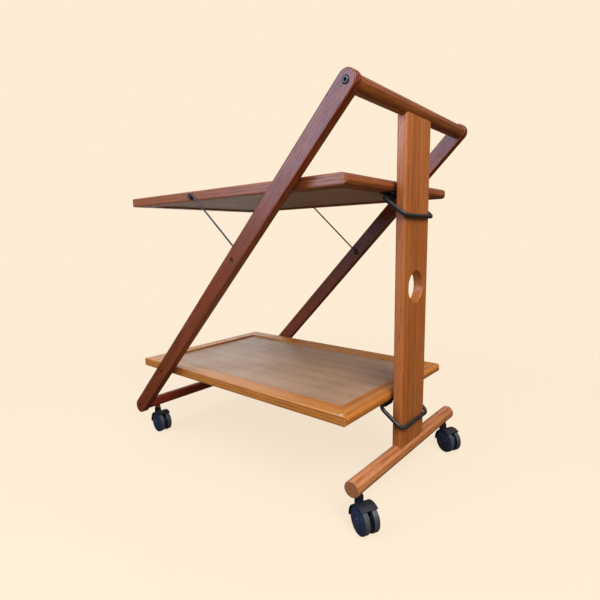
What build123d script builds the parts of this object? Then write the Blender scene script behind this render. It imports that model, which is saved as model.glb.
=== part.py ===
"""Folding bar cart: one upright board, two sloping legs, two trays and four casters.

Frame: +Z up, +X towards the handle and the upright board, Y across the cart, origin on the
floor at the centre of the cart's box. Left is -Y, the left hand of the person who pushes the
cart. All sizes are in millimetres.
"""
from build123d import *
from math import atan2, cos, degrees, hypot, radians, sin, sqrt
import os

# ---- overall frame ----
HANDLE_AXIS_Z = 720.0        # centre of the handle bar above the floor
LEG_ANGLE = 45.0             # slope of the open legs, measured from the vertical
LEG_TO_TRAY = 8.5            # tray's side to a leg's inner face
BAR_HEADROOM = 14.0          # wheel tops to the underside of both lower bars

# ---- turned bars ----
HANDLE_BAR_R = 14.0
FOOT_BAR_R = 15.0
FRONT_BAR_R = 13.0
FOOT_BAR_BEYOND = 3.5        # foot bar end past the leg's inner face
BAR_END_GAP = 0.4            # handle bar end to a turning leg
BAR_EDGE = 1.2               # eased rim of a cut bar end

# ---- upright board ----
POST_WIDTH = 100.0
POST_THICK = 20.0
POST_EDGE = 5.0
HAND_HOLE_EDGE = 2.0
HAND_HOLE_R = 30.0
HAND_HOLE_Z = 403.0
GLUE_LINE = 0.05
DOWEL_R = 4.0
DOWEL_LENGTH = 30.0
DOWEL_IN_BAR = 12.0
DOWEL_SPREAD = 50.0

# ---- legs ----
LEG_WIDTH = 34.0
LEG_THICK = 18.0
LEG_EDGE = 2.5
STAY_STUD_AT = 369.0         # distances down the leg from the handle axis
UPPER_PIVOT_AT = 185.0

# ---- trays ----
TRAY_LENGTH = 632.0
TRAY_WIDTH = 392.0
RAIL_THICK = 20.0
RAIL_WIDTH = 36.0
TRAY_END_ROUND = 9.5
TRAY_SIDE_ROUND = 2.5
TRAY_CORNER_R = 5.0
PANEL_THICK = 12.0
PANEL_RECESS = 5.0           # rail top down to the panel
PANEL_STEP = 1.0             # panel's face above its tongue
PANEL_SIDE_GAP = 0.3         # panel's face to the rails
GROOVE_DEPTH = 8.0
TRAY_SPACING = 400.0         # lower tray to upper tray
TRAY_POST_GAP = 7.0          # tray's rear edge to the upright board

# ---- guide loops and their brackets ----
LOOP_ROD_R = 4.0
LOOP_SIDE_GAP = 2.5
LOOP_BACK_GAP = 1.0
LOOP_BEND_R = 13.0
LOOP_DROP = 35.0             # from the hinge line down to the rear cross rod
HINGE_SETBACK = 17.0         # tray's rear edge forward to the hinge line
KNUCKLE_R = 7.2
HINGE_BELOW = KNUCKLE_R + 1.8    # hinge line below the tray's underside
KNUCKLE_LENGTH = 22.0
KNUCKLE_AT = 27.0
BRACKET_PLATE = (28.0, 84.0, 2.5)
BRACKET_CORNER_R = 3.0
BRACKET_SCREW_AT = (9.0, 34.0)
RUNNING_FIT = 0.06
SEAT_GAP = 0.3               # between faces of different moving bodies

# ---- stays ----
STAY_ROD_R = 1.8
STAY_OFF_RAIL = 0.4
STAY_ON_TRAY = 279.0         # tray pivot forward to the stay's eye
STAY_WRAP = 95.0             # angle the hook turns round its stud
STAY_HEAD = (5.5, 2.0)

# ---- screws ----
SCREW_R = 3.0
SCREW_HEAD_R = 5.0
SCREW_HEAD_HIGH = 3.5
SCREW_RECESS = 5.5
CROSS_SLOT = (5.6, 1.1, 1.6)     # length, width and depth of the driver's cross
HEAD_ROOM = 0.2              # recess wall to a screw head
SCREW_IN_WOOD = 24.0
BOLT_R = 3.0
BOLT_HEAD_R = 5.3
BOLT_HEAD_HIGH = 5.0
BOLT_RECESS = 5.0
HEX_SOCKET = (2.9, 3.2)      # corner radius and depth
HEAD_EDGE = 0.6
WASHER_R = 6.2
WASHER_THICK = 1.2
WASHER_ROOM = 0.4
INSERT_R = 5.5
INSERT_LENGTH = 22.0
SPACER_R = 8.0
SPACER_GAP = 1.0             # spacer end to the tray's side
PIVOT_INSERT_R = 5.0
PIVOT_INSERT_LENGTH = 18.0
SMALL_SCREW_R = 1.8
SMALL_HEAD = (3.6, 1.6)
SMALL_SCREW_LENGTH = 13.0
WOOD_FIT = 0.03

# ---- casters ----
WHEEL_R = 25.0
WHEEL_WIDTH = 15.5
WHEEL_DOME = 5.5
WHEEL_EDGE = 2.0
WEB_THICK = 7.0
WHEEL_SIDE_GAP = 0.5
CASTER_TRAIL = 20.0
HOOD_GAP = 0.8
HOOD_WALL = 1.8
HOOD_WIDTH = 33.0
HOOD_SKIRT = 3.0             # hood's front edge below the axle
HOOD_OPENING = (6.0, -28.0)  # rear opening past the hood's rim, and its slope
HUB_R = 12.0
BOSS_FOOT = 6.0              # boss's lower end above the axle
BOSS_R = 8.0
BOSS_TO_BAR = 7.0
AXLE_R = 3.0
AXLE_COVER = 4.0             # wheel's dome past the axle's end
STEM_R = 4.0
STEM_COLLAR = (6.5, 5.0)
STEM_IN_BAR = 18.0
STEM_IN_BOSS = 12.0
SOCKET_R = 5.6
REAR_CASTER_INSET = 24.0     # foot bar's end in to the caster
FRONT_CASTER_INSET = 32.5    # leg's inner face in to the caster
REAR_TURN = -26.0            # direction each caster trails in, from +X
FRONT_TURN = -6.0

# ---- derived places ----
CASTER_HEIGHT = 2 * WHEEL_R + BAR_HEADROOM
BOSS_TOP_Z = CASTER_HEIGHT - BOSS_TO_BAR
AXLE_HALF = WEB_THICK / 2 + WHEEL_SIDE_GAP + WHEEL_WIDTH - AXLE_COVER
LEG_INNER_Y = TRAY_WIDTH / 2 + LEG_TO_TRAY
FOOT_BAR_HALF = LEG_INNER_Y + FOOT_BAR_BEYOND
REAR_CASTER_Y = FOOT_BAR_HALF - REAR_CASTER_INSET
FRONT_CASTER_Y = LEG_INNER_Y - FRONT_CASTER_INSET
SLOPE = radians(LEG_ANGLE)
DOWN_LEG = Vector(-sin(SLOPE), 0, -cos(SLOPE))
REAR_SWING = radians(abs(REAR_TURN))
REAR_OVERHANG = ((CASTER_TRAIL + WHEEL_R) * cos(REAR_SWING)
                 + (WEB_THICK / 2 + WHEEL_WIDTH - WHEEL_DOME) * sin(REAR_SWING))
FOOT_BAR_Z = CASTER_HEIGHT + FOOT_BAR_R
FRONT_BAR_Z = CASTER_HEIGHT + FRONT_BAR_R
LEG_LENGTH = (HANDLE_AXIS_Z - FRONT_BAR_Z) / cos(SLOPE)
POST_X = (LEG_LENGTH * sin(SLOPE) + LEG_WIDTH / 2 - REAR_OVERHANG) / 2
LEG_OUTER_Y = LEG_INNER_Y + LEG_THICK
TRAY_REAR_X = POST_X - POST_THICK / 2 - TRAY_POST_GAP
TRAY_FRONT_X = TRAY_REAR_X - TRAY_LENGTH
TRAY_HALF_Y = TRAY_WIDTH / 2
UPPER_TRAY_Z = HANDLE_AXIS_Z - UPPER_PIVOT_AT * cos(SLOPE) - RAIL_THICK / 2
LOWER_TRAY_Z = UPPER_TRAY_Z - TRAY_SPACING
LOWER_PIVOT_AT = UPPER_PIVOT_AT + TRAY_SPACING / cos(SLOPE)
HINGE_X = TRAY_REAR_X - HINGE_SETBACK
LOOP_BACK_X = POST_X + POST_THICK / 2 + LOOP_BACK_GAP + LOOP_ROD_R
LOOP_HALF_Y = POST_WIDTH / 2 + LOOP_SIDE_GAP + LOOP_ROD_R
STAY_Y = TRAY_HALF_Y + STAY_OFF_RAIL + STAY_ROD_R
SIDES = {"left": -1, "right": 1}
TRAYS = {"upper": UPPER_TRAY_Z, "lower": LOWER_TRAY_Z}

os.makedirs("parts", exist_ok=True)


def down_leg(distance, y=0.0):
    """Point on a leg's centre line, this far from the handle axis."""
    return Vector(POST_X, y, HANDLE_AXIS_Z) + DOWN_LEG * distance


def across(x, y, z, outward):
    """Plane at a point whose normal runs across the cart, outward (+1 or -1 along Y)."""
    return Plane(origin=(x, y, z), x_dir=(1, 0, 0), z_dir=(0, outward, 0))


def save(part, name):
    """Label a finished piece and write it."""
    part.label = name
    export_step(part, f"parts/{name}.step")


def across_cut(point, side, start_y, radius, depth):
    """Round hole from |y| = start_y, running inward; called inside a part block."""
    with BuildSketch(across(point.X, side * start_y, point.Z, -side)) as disc:
        Circle(radius)
    extrude(disc.sketch, amount=depth, mode=Mode.SUBTRACT)


def across_rod(point, side, start_y, radius, length):
    """Round rod from |y| = start_y, running inward; called inside a part block."""
    with BuildSketch(across(point.X, side * start_y, point.Z, -side)) as disc:
        Circle(radius)
    extrude(disc.sketch, amount=length)


# ---- bars ----
def make_bar(name, x, z, radius, half, bores=(), end_bore=None):
    """Turned bar along Y with upright dowel or socket bores and bored ends."""
    with BuildPart() as bar:
        with BuildSketch(Plane.XZ.offset(-half)):
            with Locations((x, z)):
                Circle(radius)
        extrude(amount=2 * half)
        rims = bar.edges().filter_by(GeomType.CIRCLE)
        chamfer(rims, BAR_EDGE)
        for y, bottom, bore_r, depth in bores:
            with BuildSketch(Plane.XY.offset(bottom)):
                with Locations((x, y)):
                    Circle(bore_r)
            extrude(amount=depth, mode=Mode.SUBTRACT)
        if end_bore:
            for side in SIDES.values():
                across_cut(Vector(x, 0, z), side, half, end_bore[0], end_bore[1])
    save(bar.part, name)


def dowel_places():
    """Both dowel positions across the upright board."""
    return [side * DOWEL_SPREAD / 2 for side in SIDES.values()]


def caster_bores(y_place):
    """Socket bores under a lower bar, one near each end."""
    depth = STEM_IN_BAR + 1.0
    return [(side * y_place, CASTER_HEIGHT, SOCKET_R + WOOD_FIT, depth)
            for side in SIDES.values()]


def post_end_bores(bar_z, bar_r, upward):
    """Dowel bores that open towards the upright board."""
    start = bar_z + bar_r - DOWEL_IN_BAR if upward else bar_z - bar_r
    return [(y, start, DOWEL_R + WOOD_FIT, DOWEL_IN_BAR) for y in dowel_places()]


make_bar("handle_bar", POST_X, HANDLE_AXIS_Z, HANDLE_BAR_R, LEG_INNER_Y - BAR_END_GAP,
         post_end_bores(HANDLE_AXIS_Z, HANDLE_BAR_R, False),
         (INSERT_R + WOOD_FIT, INSERT_LENGTH))
make_bar("foot_bar", POST_X, FOOT_BAR_Z, FOOT_BAR_R, FOOT_BAR_HALF,
         post_end_bores(FOOT_BAR_Z, FOOT_BAR_R, True) + caster_bores(REAR_CASTER_Y))
FRONT_BAR_X = down_leg(LEG_LENGTH).X
make_bar("front_bar", FRONT_BAR_X, FRONT_BAR_Z, FRONT_BAR_R, LEG_INNER_Y,
         caster_bores(FRONT_CASTER_Y), (SCREW_R + WOOD_FIT, SCREW_IN_WOOD))

# ---- upright board and its dowels ----
POST_BOTTOM_Z = FOOT_BAR_Z
POST_TOP_Z = HANDLE_AXIS_Z
with BuildPart() as post:
    with BuildSketch(Plane.XY.offset(POST_BOTTOM_Z)):
        with Locations((POST_X, 0)):
            RectangleRounded(POST_THICK, POST_WIDTH, POST_EDGE)
    extrude(amount=POST_TOP_Z - POST_BOTTOM_Z)
    with BuildSketch(Plane.YZ.offset(POST_X - POST_THICK)):
        with Locations((0, HAND_HOLE_Z)):
            Circle(HAND_HOLE_R)
    extrude(amount=2 * POST_THICK, mode=Mode.SUBTRACT)
    hole_rims = post.edges().filter_by(GeomType.CIRCLE).filter_by(
        lambda edge: abs(edge.radius - HAND_HOLE_R) < 0.01)
    fillet(hole_rims, HAND_HOLE_EDGE)
    for bar_z, bar_r in ((FOOT_BAR_Z, FOOT_BAR_R), (HANDLE_AXIS_Z, HANDLE_BAR_R)):
        with BuildSketch(Plane.XZ.offset(-POST_WIDTH)):
            with Locations((POST_X, bar_z)):
                Circle(bar_r + GLUE_LINE)
        extrude(amount=2 * POST_WIDTH, mode=Mode.SUBTRACT)
    dowel_depth = DOWEL_LENGTH - DOWEL_IN_BAR + 1.0
    for bar_z, bar_r, upward in ((FOOT_BAR_Z, FOOT_BAR_R, 1), (HANDLE_AXIS_Z, HANDLE_BAR_R, -1)):
        with BuildSketch(Plane.XY.offset(bar_z)):
            with Locations(*[(POST_X, y) for y in dowel_places()]):
                Circle(DOWEL_R + WOOD_FIT)
        extrude(amount=upward * (bar_r + dowel_depth), mode=Mode.SUBTRACT)
save(post.part, "post")

with BuildPart() as dowels:
    for start in (FOOT_BAR_Z + FOOT_BAR_R - DOWEL_IN_BAR,
                  HANDLE_AXIS_Z - HANDLE_BAR_R + DOWEL_IN_BAR - DOWEL_LENGTH):
        with BuildSketch(Plane.XY.offset(start)):
            with Locations(*[(POST_X, y) for y in dowel_places()]):
                Circle(DOWEL_R)
        extrude(amount=DOWEL_LENGTH)
save(dowels.part, "post_dowels")

# ---- handle bolts, washers and inserts ----
HANDLE_AXIS = Vector(POST_X, 0, HANDLE_AXIS_Z)
WASHER_SEAT_Y = LEG_OUTER_Y - BOLT_RECESS + SEAT_GAP
HEAD_SEAT_Y = WASHER_SEAT_Y + WASHER_THICK
BAR_END_Y = LEG_INNER_Y - BAR_END_GAP

with BuildPart() as bolts:
    for side in SIDES.values():
        across_rod(HANDLE_AXIS, side, HEAD_SEAT_Y, BOLT_R, HEAD_SEAT_Y - BAR_END_Y + INSERT_LENGTH)
        across_rod(HANDLE_AXIS, side, HEAD_SEAT_Y + BOLT_HEAD_HIGH, BOLT_HEAD_R, BOLT_HEAD_HIGH)
    chamfer(bolts.edges().filter_by(GeomType.CIRCLE).group_by(Axis.Y)[0], HEAD_EDGE)
    chamfer(bolts.edges().filter_by(GeomType.CIRCLE).group_by(Axis.Y)[-1], HEAD_EDGE)
    for side in SIDES.values():
        head_face = across(POST_X, side * (HEAD_SEAT_Y + BOLT_HEAD_HIGH), HANDLE_AXIS_Z, -side)
        with BuildSketch(head_face):
            RegularPolygon(HEX_SOCKET[0], 6)
        extrude(amount=HEX_SOCKET[1], mode=Mode.SUBTRACT)
save(bolts.part, "handle_bolts")

with BuildPart() as washers:
    for side in SIDES.values():
        across_rod(HANDLE_AXIS, side, HEAD_SEAT_Y, WASHER_R, WASHER_THICK)
        across_cut(HANDLE_AXIS, side, HEAD_SEAT_Y, BOLT_R + RUNNING_FIT, WASHER_THICK)
save(washers.part, "handle_washers")

with BuildPart() as inserts:
    for side in SIDES.values():
        across_rod(HANDLE_AXIS, side, BAR_END_Y, INSERT_R, INSERT_LENGTH)
        across_cut(HANDLE_AXIS, side, BAR_END_Y, BOLT_R + WOOD_FIT, INSERT_LENGTH)
save(inserts.part, "handle_inserts")


# ---- legs ----
SCREW_PLACES = {"stay": STAY_STUD_AT, "pivot": LOWER_PIVOT_AT, "end": LEG_LENGTH}


def make_leg(name, side):
    """Flat leg with rounded ends, a bolt recess at the top and three screw recesses."""
    plane = Plane(origin=(POST_X, side * LEG_INNER_Y, HANDLE_AXIS_Z),
                  x_dir=tuple(DOWN_LEG), z_dir=(0, side, 0))
    with BuildPart() as leg:
        with BuildSketch(plane):
            SlotCenterPoint((LEG_LENGTH / 2, 0), (LEG_LENGTH, 0), LEG_WIDTH)
        extrude(amount=LEG_THICK)
        fillet(leg.faces().filter_by(Axis.Y).edges(), LEG_EDGE)
        through = LEG_THICK + 1.0
        across_cut(HANDLE_AXIS, side, LEG_OUTER_Y, BOLT_R + RUNNING_FIT, through)
        across_cut(HANDLE_AXIS, side, LEG_OUTER_Y, WASHER_R + WASHER_ROOM, BOLT_RECESS)
        for distance in SCREW_PLACES.values():
            point = down_leg(distance)
            across_cut(point, side, LEG_OUTER_Y, SCREW_R + WOOD_FIT, through)
            across_cut(point, side, LEG_OUTER_Y, SCREW_HEAD_R + HEAD_ROOM, SCREW_RECESS)
        pin_depth = LEG_THICK - SCREW_RECESS
        across_cut(down_leg(UPPER_PIVOT_AT), side, LEG_INNER_Y + pin_depth,
                   SCREW_R + WOOD_FIT, pin_depth)
    save(leg.part, name)


def screw_pair(name, distance, inner_y, outer_y=LEG_OUTER_Y - SCREW_RECESS, head=True, collar=0.0):
    """Two screws on the legs' centre lines, one each side, running in to |y| = inner_y."""
    with BuildPart() as pair:
        for side in SIDES.values():
            point = down_leg(distance)
            across_rod(point, side, outer_y, SCREW_R, outer_y - inner_y)
            if head:
                head_top = outer_y + SCREW_HEAD_HIGH
                across_rod(point, side, head_top, SCREW_HEAD_R, SCREW_HEAD_HIGH)
                for turn in (0, 90):
                    with BuildSketch(across(point.X, side * head_top, point.Z, -side)):
                        Rectangle(CROSS_SLOT[0], CROSS_SLOT[1], rotation=turn)
                    extrude(amount=CROSS_SLOT[2], mode=Mode.SUBTRACT)
            if collar:
                across_rod(point, side, LEG_INNER_Y, STAY_HEAD[0], collar)
    save(pair.part, name)


for leg_name, leg_side in SIDES.items():
    make_leg(f"{leg_name}_leg", leg_side)

SPACER_INNER_Y = TRAY_HALF_Y + SPACER_GAP
STUD_COLLAR = LEG_INNER_Y - (STAY_Y + STAY_ROD_R + SPACER_GAP)
screw_pair("leg_end_screws", LEG_LENGTH, LEG_INNER_Y - SCREW_IN_WOOD)
screw_pair("lower_pivot_screws", LOWER_PIVOT_AT, SPACER_INNER_Y)
screw_pair("stay_studs", STAY_STUD_AT, SPACER_INNER_Y, collar=STUD_COLLAR)
screw_pair("upper_pivot_pins", UPPER_PIVOT_AT, SPACER_INNER_Y, head=False)

with BuildPart() as spacers:
    for side in SIDES.values():
        for distance in (UPPER_PIVOT_AT, LOWER_PIVOT_AT):
            spacer_point = down_leg(distance)
            across_rod(spacer_point, side, LEG_INNER_Y, SPACER_R, LEG_INNER_Y - SPACER_INNER_Y)
            across_cut(spacer_point, side, LEG_INNER_Y, SCREW_R + WOOD_FIT,
                       LEG_INNER_Y - SPACER_INNER_Y)
save(spacers.part, "pivot_spacers")


# ---- trays ----
def tray_outline():
    """Keep only what lies inside the tray's rounded outer shape; called inside a part block."""
    middle_x = (TRAY_FRONT_X + TRAY_REAR_X) / 2
    with BuildSketch(Plane.XZ.offset(-TRAY_WIDTH)) as side_view:
        with Locations((middle_x, tray_z + RAIL_THICK / 2)):
            RectangleRounded(TRAY_LENGTH, RAIL_THICK, TRAY_END_ROUND)
    extrude(side_view.sketch, amount=2 * TRAY_WIDTH, mode=Mode.INTERSECT)
    with BuildSketch(Plane.YZ.offset(TRAY_FRONT_X - 1)) as end_view:
        with Locations((0, tray_z + RAIL_THICK / 2)):
            RectangleRounded(TRAY_WIDTH, RAIL_THICK, TRAY_SIDE_ROUND)
    extrude(end_view.sketch, amount=TRAY_LENGTH + 2, mode=Mode.INTERSECT)
    with BuildSketch(Plane.XY.offset(tray_z - 1)) as plan_view:
        with Locations((middle_x, 0)):
            RectangleRounded(TRAY_LENGTH, TRAY_WIDTH, TRAY_CORNER_R)
    extrude(plan_view.sketch, amount=RAIL_THICK + 2, mode=Mode.INTERSECT)
    groove_length = TRAY_LENGTH - 2 * RAIL_WIDTH + 2 * GROOVE_DEPTH
    groove_width = TRAY_WIDTH - 2 * RAIL_WIDTH + 2 * GROOVE_DEPTH
    with BuildSketch(Plane.XY.offset(tray_z + RAIL_THICK - PANEL_RECESS - PANEL_THICK)) as groove:
        with Locations((middle_x, 0)):
            Rectangle(groove_length, groove_width)
    extrude(groove.sketch, amount=PANEL_THICK - PANEL_STEP, mode=Mode.SUBTRACT)


def side_rail(side):
    """Plan of a long rail, mitred at both ends."""
    outer, inner = side * TRAY_HALF_Y, side * (TRAY_HALF_Y - RAIL_WIDTH)
    return [(TRAY_FRONT_X, outer), (TRAY_REAR_X, outer),
            (TRAY_REAR_X - RAIL_WIDTH, inner), (TRAY_FRONT_X + RAIL_WIDTH, inner)]


def end_rail(outer_x, inward):
    """Plan of a short rail, mitred at both ends."""
    inner_x, inner_y = outer_x + inward * RAIL_WIDTH, TRAY_HALF_Y - RAIL_WIDTH
    return [(outer_x, -TRAY_HALF_Y), (outer_x, TRAY_HALF_Y), (inner_x, inner_y), (inner_x, -inner_y)]


RAILS = {"left_rail": side_rail(-1), "right_rail": side_rail(1),
         "front_rail": end_rail(TRAY_FRONT_X, 1), "rear_rail": end_rail(TRAY_REAR_X, -1)}
PIVOTS = {"upper": down_leg(UPPER_PIVOT_AT), "lower": down_leg(LOWER_PIVOT_AT)}
STAY_EYE = PIVOTS["upper"] + Vector(-STAY_ON_TRAY, 0, 0)

for tray, tray_z in TRAYS.items():
    pivot = PIVOTS[tray]
    for rail_name, plan in RAILS.items():
        with BuildPart() as rail:
            with BuildSketch(Plane.XY.offset(tray_z)):
                with BuildLine():
                    Polyline(*plan, close=True)
                make_face()
            extrude(amount=RAIL_THICK)
            tray_outline()
            if rail_name in ("left_rail", "right_rail"):
                rail_side = SIDES[rail_name.split("_")[0]]
                across_cut(pivot, rail_side, TRAY_HALF_Y, PIVOT_INSERT_R + WOOD_FIT,
                           PIVOT_INSERT_LENGTH)
                if tray == "upper":
                    across_cut(STAY_EYE, rail_side, TRAY_HALF_Y, SCREW_R + WOOD_FIT,
                               PIVOT_INSERT_LENGTH)
            if rail_name == "rear_rail":
                with BuildSketch(Plane.XY.offset(tray_z)):
                    with Locations((HINGE_X, 0)):
                        with GridLocations(2 * BRACKET_SCREW_AT[0], 2 * BRACKET_SCREW_AT[1], 2, 2):
                            Circle(SMALL_SCREW_R + WOOD_FIT)
                extrude(amount=SMALL_SCREW_LENGTH, mode=Mode.SUBTRACT)
        save(rail.part, f"{tray}_{rail_name}")

    with BuildPart() as panel:
        for margin, thickness in ((GROOVE_DEPTH, PANEL_THICK - PANEL_STEP),
                                  (-PANEL_SIDE_GAP, PANEL_THICK)):
            with BuildSketch(Plane.XY.offset(tray_z + RAIL_THICK - PANEL_RECESS - PANEL_THICK)):
                with Locations(((TRAY_FRONT_X + TRAY_REAR_X) / 2, 0)):
                    Rectangle(TRAY_LENGTH - 2 * RAIL_WIDTH + 2 * margin,
                              TRAY_WIDTH - 2 * RAIL_WIDTH + 2 * margin)
            extrude(amount=thickness)
    save(panel.part, f"{tray}_panel")

    with BuildPart() as pivot_inserts:
        for side in SIDES.values():
            across_rod(pivot, side, TRAY_HALF_Y, PIVOT_INSERT_R, PIVOT_INSERT_LENGTH)
            across_cut(pivot, side, TRAY_HALF_Y, SCREW_R + 0.2, PIVOT_INSERT_LENGTH - 2)
    save(pivot_inserts.part, f"{tray}_pivot_inserts")

    # Hinge bracket under the rear rail: a plate with two knuckles for the guide loop.
    hinge_z = tray_z - HINGE_BELOW
    plate_length, plate_width, plate_thick = BRACKET_PLATE
    with BuildPart() as bracket:
        with BuildSketch(Plane.XY.offset(tray_z - plate_thick)):
            with Locations((HINGE_X, 0)):
                RectangleRounded(plate_length, plate_width, BRACKET_CORNER_R)
        extrude(amount=plate_thick)
        for side in SIDES.values():
            knuckle_end = side * (KNUCKLE_AT + KNUCKLE_LENGTH / 2)
            with BuildSketch(across(HINGE_X, knuckle_end, hinge_z, -side)):
                Circle(KNUCKLE_R)
            extrude(amount=KNUCKLE_LENGTH)
        with BuildSketch(Plane.XY.offset(tray_z)):
            with Locations((HINGE_X, 0)):
                Rectangle(2 * plate_length, 2 * plate_width)
        extrude(amount=2 * KNUCKLE_R, mode=Mode.SUBTRACT)
        with BuildSketch(Plane.XZ.offset(-plate_width)):
            with Locations((HINGE_X, hinge_z)):
                Circle(LOOP_ROD_R + RUNNING_FIT)
        extrude(amount=2 * plate_width, mode=Mode.SUBTRACT)
        with BuildSketch(Plane.XY.offset(tray_z - plate_thick)):
            with Locations((HINGE_X, 0)):
                with GridLocations(2 * BRACKET_SCREW_AT[0], 2 * BRACKET_SCREW_AT[1], 2, 2):
                    Circle(SMALL_SCREW_R + WOOD_FIT)
        extrude(amount=plate_thick, mode=Mode.SUBTRACT)
    save(bracket.part, f"{tray}_bracket")

    with BuildPart() as bracket_screws:
        for start, radius, length in ((tray_z - plate_thick, SMALL_SCREW_R, SMALL_SCREW_LENGTH),
                                      (tray_z - plate_thick - SMALL_HEAD[1], *SMALL_HEAD)):
            with BuildSketch(Plane.XY.offset(start)):
                with Locations((HINGE_X, 0)):
                    with GridLocations(2 * BRACKET_SCREW_AT[0], 2 * BRACKET_SCREW_AT[1], 2, 2):
                        Circle(radius)
            extrude(amount=length)
    save(bracket_screws.part, f"{tray}_bracket_screws")

    # Guide loop: a bent rod ring that runs through the knuckles and round the upright board.
    reach = Vector(LOOP_BACK_X - HINGE_X, 0, -LOOP_DROP)
    loop_plane = Plane(origin=(HINGE_X, 0, hinge_z), x_dir=(0, 1, 0),
                       z_dir=tuple(Vector(0, 1, 0).cross(reach)))
    with BuildPart() as loop:
        with BuildLine(loop_plane) as ring:
            FilletPolyline((0, 0), (LOOP_HALF_Y, 0), (LOOP_HALF_Y, reach.length), (0, reach.length),
                           radius=LOOP_BEND_R)
        with BuildSketch(Plane(origin=(HINGE_X, 0, hinge_z), z_dir=(0, 1, 0))):
            Circle(LOOP_ROD_R)
        sweep(path=ring.line)
        mirror(about=Plane.XZ)
    save(loop.part, f"{tray}_loop")


# ---- stays ----
STAY_STUD = down_leg(STAY_STUD_AT)
STAY_RING = SCREW_R + SEAT_GAP + STAY_ROD_R
span = STAY_STUD - STAY_EYE
STAY_SPAN = hypot(span.X, span.Z)
STAY_SLOPE = degrees(atan2(span.Z, span.X))


def make_stay(name, side):
    """Wire stay: an eye on the tray's screw, a straight rod and a hook over the leg's stud."""
    plane = Plane(origin=(STAY_EYE.X, side * STAY_Y, STAY_EYE.Z),
                  x_dir=(cos(radians(STAY_SLOPE)), 0, sin(radians(STAY_SLOPE))), z_dir=(0, -1, 0))
    with BuildPart() as stay:
        with BuildLine(plane) as wire:
            start = (0, STAY_RING)
            end = (STAY_SPAN, STAY_RING)
            Line(start, end)
            CenterArc((STAY_SPAN, 0), STAY_RING, 90, -STAY_WRAP)
        with BuildSketch(Plane(origin=wire.line @ 0, z_dir=wire.line % 0)):
            Circle(STAY_ROD_R)
        sweep(path=wire.line)
        with BuildSketch(Plane(origin=plane.origin, x_dir=plane.x_dir, z_dir=plane.y_dir)):
            with Locations((STAY_RING, 0)):
                Circle(STAY_ROD_R)
        revolve(axis=Axis(plane.origin, plane.z_dir), revolution_arc=360)
    save(stay.part, name)


for stay_name, stay_side in SIDES.items():
    make_stay(f"{stay_name}_stay", stay_side)

with BuildPart() as eye_screws:
    head_base = STAY_Y + STAY_ROD_R + SEAT_GAP
    for side in SIDES.values():
        screw_length = head_base - TRAY_HALF_Y + PIVOT_INSERT_LENGTH - 1
        across_rod(STAY_EYE, side, head_base, SCREW_R, screw_length)
        across_rod(STAY_EYE, side, head_base + STAY_HEAD[1], *STAY_HEAD)
save(eye_screws.part, "stay_screws")


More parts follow.
